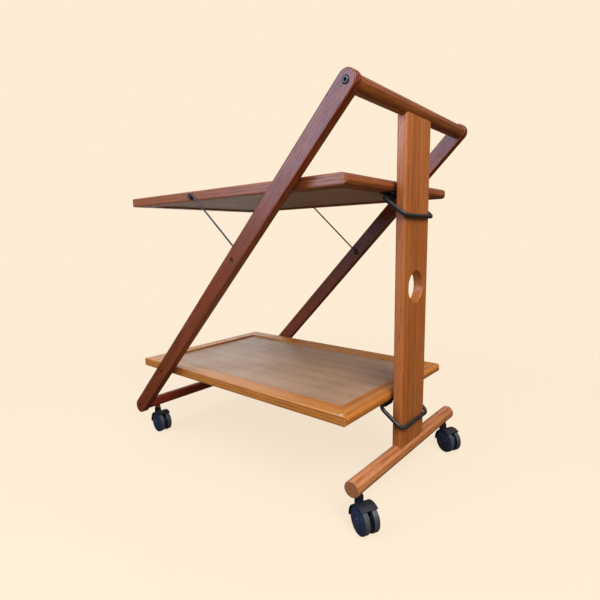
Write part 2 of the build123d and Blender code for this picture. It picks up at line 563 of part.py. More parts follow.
# ---- casters ----
def make_caster(name, x, y, turn):
    """Twin-wheel caster: stem and socket in the bar, swivelling housing, axle and two wheels."""
    trail = Location((x, y, 0), (0, 0, turn))
    axle_z = WHEEL_R
    inner_y = WEB_THICK / 2 + WHEEL_SIDE_GAP
    hood_in, hood_out = WHEEL_R + HOOD_GAP, WHEEL_R + HOOD_GAP + HOOD_WALL

    with BuildPart() as stem:
        collar_r, collar_high = STEM_COLLAR
        collar_z = CASTER_HEIGHT - SEAT_GAP - collar_high
        for bottom, radius, high in ((BOSS_TOP_Z - STEM_IN_BOSS, STEM_R,
                                      CASTER_HEIGHT + STEM_IN_BAR - BOSS_TOP_Z + STEM_IN_BOSS),
                                     (collar_z, collar_r, collar_high)):
            with BuildSketch(Plane.XY.offset(bottom)):
                Circle(radius)
            extrude(amount=high)
    save(trail * stem.part, f"{name}_stem")

    with BuildPart() as housing:
        with BuildSketch(Plane.XZ.offset(-HOOD_WIDTH / 2)):
            with Locations((CASTER_TRAIL, axle_z)):
                Circle(hood_out)
            with Locations((CASTER_TRAIL, axle_z - HOOD_SKIRT - hood_out)):
                Rectangle(4 * hood_out, 2 * hood_out, mode=Mode.SUBTRACT)
            opening_gap, opening_slope = HOOD_OPENING
            with Locations((CASTER_TRAIL + hood_out + opening_gap, axle_z)):
                Rectangle(2 * hood_out, 2 * hood_out, rotation=opening_slope, mode=Mode.SUBTRACT)
        extrude(amount=HOOD_WIDTH)
        with BuildSketch(Plane.XZ.offset(-WEB_THICK / 2)):
            with Locations((CASTER_TRAIL, axle_z)):
                Circle(HUB_R)
        extrude(amount=WEB_THICK)
        with BuildSketch(Plane.XY.offset(axle_z + BOSS_FOOT)):
            Circle(BOSS_R)
        extrude(amount=BOSS_TOP_Z - axle_z - BOSS_FOOT)
        for side in SIDES.values():
            with BuildSketch(across(CASTER_TRAIL, side * WEB_THICK / 2, axle_z, side)):
                Circle(hood_in)
            extrude(amount=HOOD_WIDTH, mode=Mode.SUBTRACT)
        with BuildSketch(Plane.XZ.offset(-HOOD_WIDTH)):
            with Locations((CASTER_TRAIL, axle_z)):
                Circle(AXLE_R + WOOD_FIT)
        extrude(amount=2 * HOOD_WIDTH, mode=Mode.SUBTRACT)
        with BuildSketch(Plane.XY.offset(BOSS_TOP_Z - STEM_IN_BOSS - 0.5)):
            Circle(STEM_R + RUNNING_FIT)
        extrude(amount=STEM_IN_BOSS + 1, mode=Mode.SUBTRACT)
    save(trail * housing.part, f"{name}_housing")

    with BuildPart() as axle:
        with BuildSketch(Plane.XZ.offset(-AXLE_HALF)):
            with Locations((CASTER_TRAIL, axle_z)):
                Circle(AXLE_R)
        extrude(amount=2 * AXLE_HALF)
    save(trail * axle.part, f"{name}_axle")

    for wheel_name, side in SIDES.items():
        with BuildPart() as wheel:
            outer_y = inner_y + WHEEL_WIDTH
            dome_r = (WHEEL_R ** 2 + WHEEL_DOME ** 2) / (2 * WHEEL_DOME)
            shoulder_y = outer_y - dome_r + sqrt(dome_r ** 2 - (WHEEL_R - WHEEL_EDGE) ** 2)
            halfway_y = outer_y - dome_r + sqrt(dome_r ** 2 - (WHEEL_R / 2) ** 2)
            with BuildSketch(Plane(origin=(CASTER_TRAIL, 0, axle_z))):
                with BuildLine():
                    Polyline((0, outer_y), (0, inner_y), (WHEEL_R - WHEEL_EDGE, inner_y),
                             (WHEEL_R, inner_y + WHEEL_EDGE), (WHEEL_R, shoulder_y - WHEEL_EDGE),
                             (WHEEL_R - WHEEL_EDGE, shoulder_y))
                    ThreePointArc((WHEEL_R - WHEEL_EDGE, shoulder_y), (WHEEL_R / 2, halfway_y),
                                  (0, outer_y))
                make_face()
            revolve(axis=Axis((CASTER_TRAIL, 0, axle_z), (0, 1, 0)), revolution_arc=360)
            with BuildSketch(across(CASTER_TRAIL, inner_y, axle_z, 1)):
                Circle(AXLE_R + RUNNING_FIT)
            extrude(amount=AXLE_HALF - inner_y + 0.5, mode=Mode.SUBTRACT)
        wheel_part = wheel.part if side > 0 else mirror(wheel.part, Plane.XZ)
        save(trail * wheel_part, f"{name}_{wheel_name}_wheel")


CASTERS = {}
for side_name, side in SIDES.items():
    CASTERS[f"rear_{side_name}"] = (POST_X, side * REAR_CASTER_Y, REAR_TURN)
    CASTERS[f"front_{side_name}"] = (FRONT_BAR_X, side * FRONT_CASTER_Y, FRONT_TURN)
for caster_name, (caster_x, caster_y, caster_turn) in CASTERS.items():
    make_caster(caster_name, caster_x, caster_y, caster_turn)

for bar_name, bar_x, bar_y in (("rear", POST_X, REAR_CASTER_Y),
                               ("front", FRONT_BAR_X, FRONT_CASTER_Y)):
    with BuildPart() as sockets:
        with BuildSketch(Plane.XY.offset(CASTER_HEIGHT + 1.5)):
            with Locations((bar_x, bar_y), (bar_x, -bar_y)):
                Circle(SOCKET_R)
                Circle(STEM_R + WOOD_FIT, mode=Mode.SUBTRACT)
        extrude(amount=STEM_IN_BAR - 2)
    save(sockets.part, f"{bar_name}_sockets")
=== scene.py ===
"""Looks of a folding bar cart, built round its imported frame.

Everything is in metres, +Z up, +X towards the post and the handle. Left is -Y. Each
sub-assembly of the cart is a class that holds its sizes and dresses or builds its pieces.
"""

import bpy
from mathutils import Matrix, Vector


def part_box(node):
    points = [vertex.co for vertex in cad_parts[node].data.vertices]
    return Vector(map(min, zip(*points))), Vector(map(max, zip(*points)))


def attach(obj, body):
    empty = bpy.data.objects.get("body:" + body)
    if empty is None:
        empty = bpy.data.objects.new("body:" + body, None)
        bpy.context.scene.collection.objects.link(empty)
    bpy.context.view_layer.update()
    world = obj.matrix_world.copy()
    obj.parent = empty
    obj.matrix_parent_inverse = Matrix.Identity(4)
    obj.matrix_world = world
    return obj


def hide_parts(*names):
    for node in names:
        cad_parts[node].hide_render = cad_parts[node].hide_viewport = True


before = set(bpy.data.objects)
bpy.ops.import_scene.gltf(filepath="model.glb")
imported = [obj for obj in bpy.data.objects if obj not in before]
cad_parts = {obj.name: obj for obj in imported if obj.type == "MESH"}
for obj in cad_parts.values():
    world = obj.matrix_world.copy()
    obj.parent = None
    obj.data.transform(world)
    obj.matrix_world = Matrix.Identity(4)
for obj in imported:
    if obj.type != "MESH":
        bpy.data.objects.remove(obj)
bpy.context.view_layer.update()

import logging
import math
from dataclasses import dataclass, field
from enum import Enum
from typing import Iterable, Optional, Sequence, Union

import bmesh
import bpy
from mathutils import Euler, Matrix, Vector

log = logging.getLogger("bar_cart")

Colour = tuple[float, float, float]
Tree = bpy.types.NodeTree
Node = bpy.types.Node
Socket = bpy.types.NodeSocket
Feed = Union[float, Sequence[float], Socket]
Material = bpy.types.Material
Piece = bpy.types.Object
Shape = bmesh.types.BMesh

MM = 0.001


class Grain(Enum):
    """Which way the wood's grain runs, as the turn from +X about X, Y and Z, in degrees."""

    ALONG = (0.0, 0.0, 0.0)
    ACROSS = (0.0, 0.0, 90.0)
    UPRIGHT = (0.0, -90.0, 0.0)
    DOWN_LEG = (0.0, 135.0, 0.0)


class Side(Enum):
    """The two sides of the cart, as the sign of Y."""

    LEFT = -1
    RIGHT = 1

    @property
    def word(self) -> str:
        """The side's name as the pieces use it."""
        return self.name.lower()


# ---------------------------------------------------------------- node helpers
def add(tree: Tree, kind: str, settings: Optional[dict] = None, inputs: Optional[dict] = None
        ) -> Node:
    """Put a node in a tree.

    Args:
        tree: The shader or geometry tree.
        kind: The node's type name.
        settings: Attributes of the node.
        inputs: Socket name or number to a value, or to the socket that feeds it.

    Returns:
        The new node.
    """
    node = tree.nodes.new(kind)
    for name, value in (settings or {}).items():
        setattr(node, name, value)
    for key, value in (inputs or {}).items():
        if isinstance(value, Socket):
            tree.links.new(value, node.inputs[key])
        else:
            node.inputs[key].default_value = value
    return node


def maths(tree: Tree, operation: str, first: Feed, second: Feed = 0.0, third: Feed = 0.0,
          clamp: bool = False) -> Socket:
    """Add a Math node.

    Args:
        tree: The tree.
        operation: The Math node's operation.
        first: First operand, a number or a socket.
        second: Second operand.
        third: Third operand, for the operations that have one.
        clamp: Whether the result is kept between 0 and 1.

    Returns:
        The result's socket.
    """
    node = add(tree, "ShaderNodeMath", {"operation": operation, "use_clamp": clamp},
               {0: first, 1: second, 2: third})
    return node.outputs[0]


def blend_colour(tree: Tree, factor: Feed, first: Feed, second: Feed) -> Socket:
    """Add a colour Mix node.

    Args:
        tree: The tree.
        factor: Share of the second colour.
        first: First colour, a value or a socket.
        second: Second colour.

    Returns:
        The mixed colour's socket.
    """
    node = add(tree, "ShaderNodeMix", {"data_type": "RGBA", "blend_type": "MIX"},
               {0: factor, 6: first, 7: second})
    return node.outputs[2]


def ramp(tree: Tree, value: Socket, low: float, high: float, to_low: float = 0.0,
         to_high: float = 1.0) -> Socket:
    """Smoothly map a value from one range to another, held at its ends.

    Args:
        tree: The tree.
        value: The socket to map.
        low: Start of the input range.
        high: End of the input range.
        to_low: What the start becomes.
        to_high: What the end becomes.

    Returns:
        The mapped value's socket.
    """
    node = add(tree, "ShaderNodeMapRange", {"interpolation_type": "SMOOTHSTEP"},
               {"Value": value, "From Min": low, "From Max": high,
                "To Min": to_low, "To Max": to_high})
    return node.outputs["Result"]


def noise(tree: Tree, vector: Socket, scale: float, detail: float = 2.0,
          roughness: float = 0.5) -> Socket:
    """Add a Noise Texture.

    Args:
        tree: The tree.
        vector: Where the noise is read.
        scale: Its scale.
        detail: Number of its finer layers.
        roughness: How strong the finer layers are.

    Returns:
        The socket of its value.
    """
    node = add(tree, "ShaderNodeTexNoise", None,
               {"Vector": vector, "Scale": scale, "Detail": detail, "Roughness": roughness})
    return node.outputs[0]


def stretched(tree: Tree, vector: Socket, scale: Sequence[float],
              shift: Sequence[float] = (0.0, 0.0, 0.0)) -> Socket:
    """Scale and shift a coordinate by a Mapping node.

    Args:
        tree: The tree.
        vector: The coordinate.
        scale: Its factors along X, Y and Z.
        shift: What is added after the scaling.

    Returns:
        The socket of the new coordinate.
    """
    node = add(tree, "ShaderNodeMapping", {"vector_type": "POINT"},
               {"Vector": vector, "Location": shift, "Scale": scale})
    return node.outputs[0]


def new_group(name: str, kind: str, inputs: Sequence[tuple], outputs: Sequence[tuple]
              ) -> tuple[Tree, Node, Node]:
    """Start a node group with named sockets.

    Args:
        name: The group's name.
        kind: Type name of the tree.
        inputs: (name, socket type, default) of each input.
        outputs: (name, socket type) of each output.

    Returns:
        The tree, its input node and its output node.
    """
    tree = bpy.data.node_groups.new(name, kind)
    for label, socket, default in inputs:
        made = tree.interface.new_socket(name=label, in_out="INPUT", socket_type=socket)
        if default is not None:
            made.default_value = default
    for label, socket in outputs:
        tree.interface.new_socket(name=label, in_out="OUTPUT", socket_type=socket)
    return tree, tree.nodes.new("NodeGroupInput"), tree.nodes.new("NodeGroupOutput")


# ---------------------------------------------------------------- shared effects
FLOAT, VECTOR, COLOUR = "NodeSocketFloat", "NodeSocketVector", "NodeSocketColor"


@dataclass(frozen=True)
class TimberEffect:
    """Rings, streaks and open pores of coarse stained wood, with the grain along X."""

    stretch: float = 0.045
    ring_twist: float = 5.0
    streak_scale: float = 330.0
    pore_scale: float = 1150.0
    cloud_scale: float = 5.0
    band_share: float = 0.55
    streak_share: float = 0.42
    cloud_share: float = 0.25
    pore_darkness: float = 0.75
    pore_depth: float = 0.7
    streak_depth: float = 0.3

    def build(self) -> Tree:
        """Make the group once.

        Returns:
            The node group.
        """
        tree, given, out = new_group(
            "timber_grain", "ShaderNodeTree",
            [("Vector", VECTOR, None), ("Ring Scale", FLOAT, 60.0), ("Contrast", FLOAT, 0.6),
             ("Light", COLOUR, (0.5, 0.25, 0.1, 1)), ("Middle", COLOUR, (0.3, 0.12, 0.05, 1)),
             ("Dark", COLOUR, (0.1, 0.04, 0.02, 1))],
            [("Color", COLOUR), ("Height", FLOAT), ("Pores", FLOAT)])
        long_vector = stretched(tree, given.outputs["Vector"], (self.stretch, 1.0, 1.0))
        rings = add(tree, "ShaderNodeTexWave",
                    {"wave_type": "RINGS", "rings_direction": "X", "wave_profile": "SAW"},
                    {"Vector": long_vector, "Scale": given.outputs["Ring Scale"],
                     "Distortion": self.ring_twist, "Detail": 2.0, "Detail Scale": 0.35})
        band = ramp(tree, rings.outputs["Fac"], 0.25, 1.0)
        streaks = noise(tree, long_vector, self.streak_scale, 3.0, 0.6)
        streak = ramp(tree, streaks, 0.44, 0.66)
        pores = noise(tree, stretched(tree, long_vector, (0.8, 1.0, 1.0)), self.pore_scale, 1.0)
        pore = ramp(tree, maths(tree, "ADD", pores, maths(tree, "MULTIPLY", band, 0.06)), 0.58, 0.7)
        clouds = noise(tree, stretched(tree, given.outputs["Vector"], (1.0, 3.0, 3.0)),
                       self.cloud_scale, 2.0)
        cloud = maths(tree, "MULTIPLY", ramp(tree, clouds, 0.3, 0.7), self.cloud_share)
        tone = maths(tree, "MULTIPLY_ADD", streak, self.streak_share, cloud)
        tone = maths(tree, "MULTIPLY_ADD", band, self.band_share, tone)
        tone = maths(tree, "MULTIPLY", tone, given.outputs["Contrast"], clamp=True)
        base = blend_colour(tree, ramp(tree, tone, 0.0, 0.55), given.outputs["Light"],
                            given.outputs["Middle"])
        base = blend_colour(tree, ramp(tree, tone, 0.4, 1.0), base, given.outputs["Dark"])
        depth = maths(tree, "MULTIPLY", given.outputs["Contrast"], self.pore_darkness)
        dark_pore = maths(tree, "MULTIPLY", pore, depth)
        base = blend_colour(tree, dark_pore, base, given.outputs["Dark"])
        sunk = maths(tree, "MULTIPLY", streak, self.streak_depth)
        sunk = maths(tree, "MULTIPLY_ADD", pore, self.pore_depth, sunk)
        height = maths(tree, "SUBTRACT", 1.0, sunk)
        tree.links.new(base, out.inputs["Color"])
        tree.links.new(height, out.inputs["Height"])
        tree.links.new(pore, out.inputs["Pores"])
        return tree


@dataclass(frozen=True)
class EdgeWearEffect:
    """A mask along the edges of a box-like piece, uneven as hands and knocks leave it."""

    unevenness: float = 0.9
    patch_scale: float = 90.0
    fine_scale: float = 900.0
    fine_share: float = 0.35

    def build(self) -> Tree:
        """Make the group once.

        Returns:
            The node group.
        """
        tree, given, out = new_group(
            "edge_wear", "ShaderNodeTree",
            [("Vector", VECTOR, None), ("Half Size", VECTOR, None), ("Reach", FLOAT, 0.003)],
            [("Mask", FLOAT)])
        size = add(tree, "ShaderNodeVectorMath", {"operation": "ABSOLUTE"},
                   {0: given.outputs["Vector"]})
        depth = add(tree, "ShaderNodeVectorMath", {"operation": "SUBTRACT"},
                    {0: given.outputs["Half Size"], 1: size.outputs[0]})
        parts = add(tree, "ShaderNodeSeparateXYZ", None, {0: depth.outputs[0]})
        first, second, third = parts.outputs
        # The middle one of the three depths is how far the point is from the nearest edge.
        nearer = maths(tree, "MINIMUM", first, second)
        farther = maths(tree, "MAXIMUM", first, second)
        from_edge = maths(tree, "MAXIMUM", nearer, maths(tree, "MINIMUM", farther, third))
        patchy = noise(tree, stretched(tree, given.outputs["Vector"], (0.35, 1.0, 1.0)),
                       self.patch_scale, 3.0)
        fine = noise(tree, given.outputs["Vector"], self.fine_scale, 1.0)
        uneven = maths(tree, "MULTIPLY_ADD", patchy, self.unevenness,
                       maths(tree, "MULTIPLY", fine, self.fine_share))
        reach = maths(tree, "MULTIPLY", given.outputs["Reach"],
                      ramp(tree, uneven, 0.45, 0.95, 0.05, 1.6))
        worn = maths(tree, "SUBTRACT", 1.0, maths(tree, "DIVIDE", from_edge, reach), clamp=True)
        tree.links.new(worn, out.inputs["Mask"])
        return tree


@dataclass(frozen=True)
class HandlingEffect:
    """Faint cloudy smudges, fine scratches and settled dust on a finished surface."""

    scratch_stretch: tuple[float, float, float] = (2.0, 60.0, 31.0)
    dust_scale: float = 90.0

    def build(self) -> Tree:
        """Make the group once.

        Returns:
            The node group.
        """
        tree, given, out = new_group(
            "handling_marks", "ShaderNodeTree",
            [("Vector", VECTOR, None), ("Scale", FLOAT, 12.0)],
            [("Smudge", FLOAT), ("Scratch", FLOAT), ("Dust", FLOAT)])
        scaled = add(tree, "ShaderNodeVectorMath", {"operation": "SCALE"},
                     {0: given.outputs["Vector"], "Scale": given.outputs["Scale"]})
        cloud = noise(tree, scaled.outputs[0], 1.0, 4.0, 0.6)
        smudge = ramp(tree, cloud, 0.35, 0.7)
        lines = noise(tree, stretched(tree, scaled.outputs[0], self.scratch_stretch), 1.0, 0.0)
        scratch = ramp(tree, lines, 0.72, 0.78)
        grains = noise(tree, scaled.outputs[0], self.dust_scale, 1.0)
        up = add(tree, "ShaderNodeSeparateXYZ", None,
                 {0: add(tree, "ShaderNodeNewGeometry").outputs["Normal"]})
        dust = maths(tree, "MULTIPLY", ramp(tree, grains, 0.5, 0.72),
                     ramp(tree, up.outputs[2], 0.5, 1.0))
        tree.links.new(smudge, out.inputs["Smudge"])
        tree.links.new(scratch, out.inputs["Scratch"])
        tree.links.new(dust, out.inputs["Dust"])
        return tree


class Effects:
    """The shared node groups, built once."""

    def __init__(self) -> None:
        """Build every group."""
        self.timber = TimberEffect().build()
        self.edges = EdgeWearEffect().build()
        self.handling = HandlingEffect().build()

    @staticmethod
    def place(tree: Tree, group: Tree, inputs: dict) -> Node:
        """Put a group into a material's tree.

        Args:
            tree: The material's tree.
            group: The shared group.
            inputs: Its input values or sockets.

        Returns:
            The group node.
        """
        return add(tree, "ShaderNodeGroup", {"node_tree": group}, inputs)


def start_material(name: str) -> tuple[Material, Tree, Node, Socket]:
    """Start a material on Object coordinates.

    Args:
        name: The material's name.

    Returns:
        The material, its tree, its Principled shader and the Object coordinate socket.
    """
    material = bpy.data.materials.new(name)
    material.use_nodes = True
    tree = material.node_tree
    shader = next(n for n in tree.nodes if n.type == "BSDF_PRINCIPLED")
    place = tree.nodes.new("ShaderNodeTexCoord").outputs["Object"]
    return material, tree, shader, place


def bump(tree: Tree, shader: Node, height: Socket, strength: float, distance: float) -> None:
    """Feed a height to the shader's normal.

    Args:
        tree: The material's tree.
        shader: The Principled shader.
        height: The height socket.
        strength: Strength of the bump.
        distance: Real depth of the relief in metres.
    """
    node = add(tree, "ShaderNodeBump", None,
               {"Strength": strength, "Distance": distance, "Height": height})
    tree.links.new(node.outputs["Normal"], shader.inputs["Normal"])


# ---------------------------------------------------------------- finishes
RAW_WOOD: Colour = (0.55, 0.4, 0.27)
DUST_ON_METAL: Colour = (0.32, 0.29, 0.26)
DUST_ON_VENEER: Colour = (0.5, 0.45, 0.4)


@dataclass(frozen=True)
class Stain:
    """A stained and varnished wood finish."""

    name: str
    light: Colour
    middle: Colour
    dark: Colour
    worn: Colour = (0.42, 0.19, 0.075)
    ring_scale: float = 62.0
    contrast: float = 0.62
    roughness: float = 0.4
    coat: float = 0.35
    coat_roughness: float = 0.3
    wear_reach: float = 2.2 * MM
    wear_strength: float = 0.55
    relief: float = 0.12 * MM
    marks_scale: float = 14.0
    end_grain_dark: float = 0.55
    end_grain_depth: float = 0.4 * MM
    ragged_scale: float = 420.0

    def material(self, effects: Effects, piece: str, grain: Grain, centre: Vector,
                 half: Sequence[float], pith: Sequence[float], square: bool = True,
                 bare_spot: Optional[tuple[Vector, float]] = None) -> Material:
        """Make the finish for one board or bar, with its own grain.

        Args:
            effects: The shared node groups.
            piece: Name of the piece.
            grain: Which way the grain runs.
            centre: Middle of the piece.
            half: Half its length along the grain, and half its two other sizes.
            pith: Where the tree's heart lies from the piece's middle, in its own directions.
            square: Whether it has straight edges that wear.
            bare_spot: Place and radius of a knock that shows raw wood.

        Returns:
            The material.
        """
        material, tree, shader, place = start_material(f"{self.name}_{piece}")
        turned = add(tree, "ShaderNodeMapping", {"vector_type": "TEXTURE"},
                     {"Vector": place, "Location": centre,
                      "Rotation": Euler([math.radians(a) for a in grain.value])})
        own = turned.outputs[0]
        heart = stretched(tree, own, (1.0, 1.0, 1.0), pith)
        timber = effects.place(tree, effects.timber, {
            "Vector": heart, "Ring Scale": self.ring_scale, "Contrast": self.contrast,
            "Light": (*self.light, 1), "Middle": (*self.middle, 1), "Dark": (*self.dark, 1)})
        marks = effects.place(tree, effects.handling, {"Vector": heart, "Scale": self.marks_scale})
        colour = timber.outputs["Color"]
        along = add(tree, "ShaderNodeSeparateXYZ", None, {0: own}).outputs[0]
        end = maths(tree, "GREATER_THAN", maths(tree, "ABSOLUTE", along),
                    half[0] - self.end_grain_depth)
        colour = blend_colour(tree, maths(tree, "MULTIPLY", end, self.end_grain_dark), colour,
                              (*self.dark, 1))
        if square:
            wear = effects.place(tree, effects.edges, {
                "Vector": own, "Half Size": half, "Reach": self.wear_reach})
            worn = maths(tree, "MULTIPLY", wear.outputs["Mask"], self.wear_strength)
            colour = blend_colour(tree, worn, colour, (*self.worn, 1))
        if bare_spot:
            spot, radius = bare_spot
            away = add(tree, "ShaderNodeVectorMath", {"operation": "DISTANCE"},
                       {0: place, 1: spot})
            ragged = maths(tree, "MULTIPLY_ADD", noise(tree, place, self.ragged_scale, 2.0),
                           radius * 0.8, away.outputs["Value"])
            bare = ramp(tree, ragged, radius * 0.9, radius * 1.15, 1.0, 0.0)
            colour = blend_colour(tree, bare, colour, (*RAW_WOOD, 1))
        tree.links.new(colour, shader.inputs["Base Color"])
        rough = maths(tree, "MULTIPLY_ADD", marks.outputs["Smudge"], 0.1,
                      maths(tree, "MULTIPLY_ADD", timber.outputs["Pores"], 0.15, self.roughness))
        tree.links.new(rough, shader.inputs["Roughness"])
        shader.inputs["Coat Weight"].default_value = self.coat
        shader.inputs["Coat Roughness"].default_value = self.coat_roughness
        relief = maths(tree, "MULTIPLY_ADD", marks.outputs["Scratch"], -0.3,
                       timber.outputs["Height"])
        bump(tree, shader, relief, 0.55, self.relief)
        return material


@dataclass(frozen=True)
class Coating:
    """A plain finish on metal, plastic or rubber, with its own small unevenness."""

    name: str
    colour: Colour
    worn: Colour
    metallic: float = 0.0
    roughness: float = 0.4
    coat: float = 0.0
    speckle_scale: float = 700.0
    relief: float = 0.05 * MM
    dust: float = 0.12
    marks_scale: float = 45.0
    cloud_scale: float = 60.0
    cloud_share: float = 0.35
    scratch_share: float = 0.4

    def material(self, effects: Effects) -> Material:
        """Make the finish.

        Args:
            effects: The shared node groups.

        Returns:
            The material.
        """
        material, tree, shader, place = start_material(self.name)
        marks = effects.place(tree, effects.handling, {"Vector": place, "Scale": self.marks_scale})
        cloud = ramp(tree, noise(tree, place, self.cloud_scale, 3.0), 0.35, 0.75)
        cloud = maths(tree, "MULTIPLY", cloud, self.cloud_share)
        scratch = maths(tree, "MULTIPLY", marks.outputs["Scratch"], self.scratch_share)
        dust = maths(tree, "MULTIPLY", marks.outputs["Dust"], self.dust)
        colour = blend_colour(tree, cloud, (*self.colour, 1), (*self.worn, 1))
        colour = blend_colour(tree, scratch, colour, (*self.worn, 1))
        colour = blend_colour(tree, dust, colour, (*DUST_ON_METAL, 1))
        tree.links.new(colour, shader.inputs["Base Color"])
        rough = maths(tree, "MULTIPLY_ADD", marks.outputs["Smudge"], 0.16, self.roughness)
        tree.links.new(rough, shader.inputs["Roughness"])
        shader.inputs["Metallic"].default_value = self.metallic
        shader.inputs["Coat Weight"].default_value = self.coat
        bump(tree, shader, noise(tree, place, self.speckle_scale, 2.0), 0.35, self.relief)
        return material


@dataclass(frozen=True)
class Veneer:
    """The satin veneer of a tray's panel: fine straight grain under a worn lacquer."""

    name: str = "panel_veneer"
    light: Colour = (0.42, 0.255, 0.15)
    middle: Colour = (0.34, 0.195, 0.108)
    dark: Colour = (0.2, 0.11, 0.06)
    under: Colour = (0.36, 0.29, 0.24)
    roughness: float = 0.42
    coat: float = 0.15
    coat_roughness: float = 0.3
    ring_scale: float = 24.0
    contrast: float = 0.4
    marks_scale: float = 9.0
    under_share: float = 0.75
    stain_scale: float = 7.0
    stain_share: float = 0.3
    dust: float = 0.1
    relief: float = 0.06 * MM

    def material(self, effects: Effects, piece: str, centre: Vector) -> Material:
        """Make the finish for one panel.

        Args:
            effects: The shared node groups.
            piece: Name of the piece.
            centre: Middle of the panel.

        Returns:
            The material.
        """
        material, tree, shader, place = start_material(f"{self.name}_{piece}")
        own = add(tree, "ShaderNodeMapping", {"vector_type": "TEXTURE"},
                  {"Vector": place, "Location": centre}).outputs[0]
        timber = effects.place(tree, effects.timber, {
            "Vector": stretched(tree, own, (1.0, 0.55, 1.0), (0.0, 0.2, 0.3)),
            "Ring Scale": self.ring_scale, "Contrast": self.contrast, "Light": (*self.light, 1),
            "Middle": (*self.middle, 1), "Dark": (*self.dark, 1)})
        marks = effects.place(tree, effects.handling,
                              {"Vector": own, "Scale": self.marks_scale})
        facing = add(tree, "ShaderNodeSeparateXYZ", None,
                     {0: add(tree, "ShaderNodeNewGeometry").outputs["Normal"]}).outputs[2]
        below = maths(tree, "LESS_THAN", facing, -0.5)
        below = maths(tree, "MULTIPLY", below, self.under_share)
        stains = ramp(tree, noise(tree, own, self.stain_scale, 4.0, 0.62), 0.5, 0.75)
        stains = maths(tree, "MULTIPLY", stains, self.stain_share)
        dust = maths(tree, "MULTIPLY", marks.outputs["Dust"], self.dust)
        colour = blend_colour(tree, below, timber.outputs["Color"], (*self.under, 1))
        colour = blend_colour(tree, stains, colour, (*self.dark, 1))
        colour = blend_colour(tree, dust, colour, (*DUST_ON_VENEER, 1))
        tree.links.new(colour, shader.inputs["Base Color"])
        rough = maths(tree, "MULTIPLY_ADD", marks.outputs["Smudge"], 0.14, self.roughness)
        tree.links.new(rough, shader.inputs["Roughness"])
        shader.inputs["Coat Weight"].default_value = self.coat
        shader.inputs["Coat Roughness"].default_value = self.coat_roughness
        relief = maths(tree, "MULTIPLY_ADD", marks.outputs["Scratch"], -0.5,
                       timber.outputs["Height"])
        bump(tree, shader, relief, 0.3, self.relief)
        return material


LEG_STAIN = Stain("leg_stain", (0.25, 0.052, 0.009), (0.16, 0.026, 0.004), (0.04, 0.006, 0.001),
                  worn=(0.36, 0.08, 0.016), contrast=0.7, coat=0.3)
POST_STAIN = Stain("post_stain", (0.46, 0.15, 0.034), (0.33, 0.09, 0.014), (0.1, 0.02, 0.003),
                   worn=(0.62, 0.26, 0.06), contrast=0.5, coat=0.25)
FOOT_STAIN = Stain("foot_stain", (0.62, 0.26, 0.1), (0.45, 0.15, 0.045), (0.14, 0.036, 0.012),
                   worn=(0.6, 0.32, 0.17), ring_scale=48.0)
HANDLE_STAIN = Stain("handle_stain", (0.29, 0.08, 0.012), (0.15, 0.034, 0.005),
                     (0.03, 0.006, 0.002), coat=0.25)
FRONT_BAR_STAIN = Stain("front_bar_stain", (0.42, 0.048, 0.014), (0.26, 0.026, 0.008),
                        (0.035, 0.005, 0.002), coat=0.5)
UPPER_STAIN = Stain("upper_rail_stain", (0.35, 0.1, 0.024), (0.22, 0.055, 0.012),
                    (0.055, 0.012, 0.004), worn=(0.42, 0.17, 0.06), coat=0.3)
LOWER_STAIN = Stain("lower_rail_stain", (0.55, 0.21, 0.036), (0.42, 0.13, 0.013),
                    (0.15, 0.038, 0.005), worn=(0.66, 0.33, 0.1), ring_scale=50.0,
                    contrast=0.55, coat=0.25)

BLACK_STEEL = Coating("black_steel", (0.012, 0.013, 0.016), (0.05, 0.048, 0.05),
                      roughness=0.34, coat=0.2)
GREY_STEEL = Coating("zinc_steel", (0.32, 0.31, 0.29), (0.2, 0.17, 0.14), metallic=0.9,
                     roughness=0.38)
DARK_SCREW = Coating("dark_screw", (0.1, 0.085, 0.075), (0.2, 0.13, 0.09), metallic=0.85,
                     roughness=0.45)
BRASS = Coating("dull_brass", (0.45, 0.3, 0.12), (0.2, 0.12, 0.05), metallic=0.9,
                roughness=0.42)
WHEEL_NYLON = Coating("wheel_nylon", (0.012, 0.024, 0.058), (0.03, 0.05, 0.1),
                      roughness=0.3, coat=0.3, dust=0.3, relief=0.06 * MM)
TREAD_NYLON = Coating("wheel_tread", (0.045, 0.052, 0.062), (0.1, 0.105, 0.11),
                      roughness=0.42, dust=0.5, relief=0.12 * MM)
HOOD_PLASTIC = Coating("hood_plastic", (0.006, 0.009, 0.02), (0.02, 0.024, 0.036),
                       roughness=0.36, dust=0.15)
SPACER_NYLON = Coating("spacer_nylon", (0.03, 0.03, 0.032), (0.06, 0.055, 0.05),
                       roughness=0.5)


# ---------------------------------------------------------------- mesh helpers
def dress(node: str, material: Material) -> None:
    """Give a carried-over node its finish.

    Args:
        node: Name of the node.
        material: The finish.
    """
    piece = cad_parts[node]
    piece.data.materials.clear()
    piece.data.materials.append(material)
    log.info("dressed %s", node)


def middle(node: str) -> Vector:
    """The middle of a node's box."""
    low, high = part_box(node)
    return (low + high) / 2


def half_size(node: str) -> Vector:
    """Half of a node's box."""
    low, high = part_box(node)
    return (high - low) / 2


def settle(name: str, mesh: bpy.types.Mesh, body: str, stands_for: Iterable[str]
           ) -> Piece:
    """Make a finished mesh a piece that rides a body.

    Args:
        name: Name of the piece.
        mesh: Its mesh, in place and with its material.
        body: The body that it rides on.
        stands_for: The nodes that it replaces.

    Returns:
        The piece.
    """
    piece = bpy.data.objects.new(name, mesh)
    bpy.context.scene.collection.objects.link(piece)
    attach(piece, body)
    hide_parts(*stands_for)
    log.info("built %s, %d faces", name, len(mesh.polygons))
    return piece


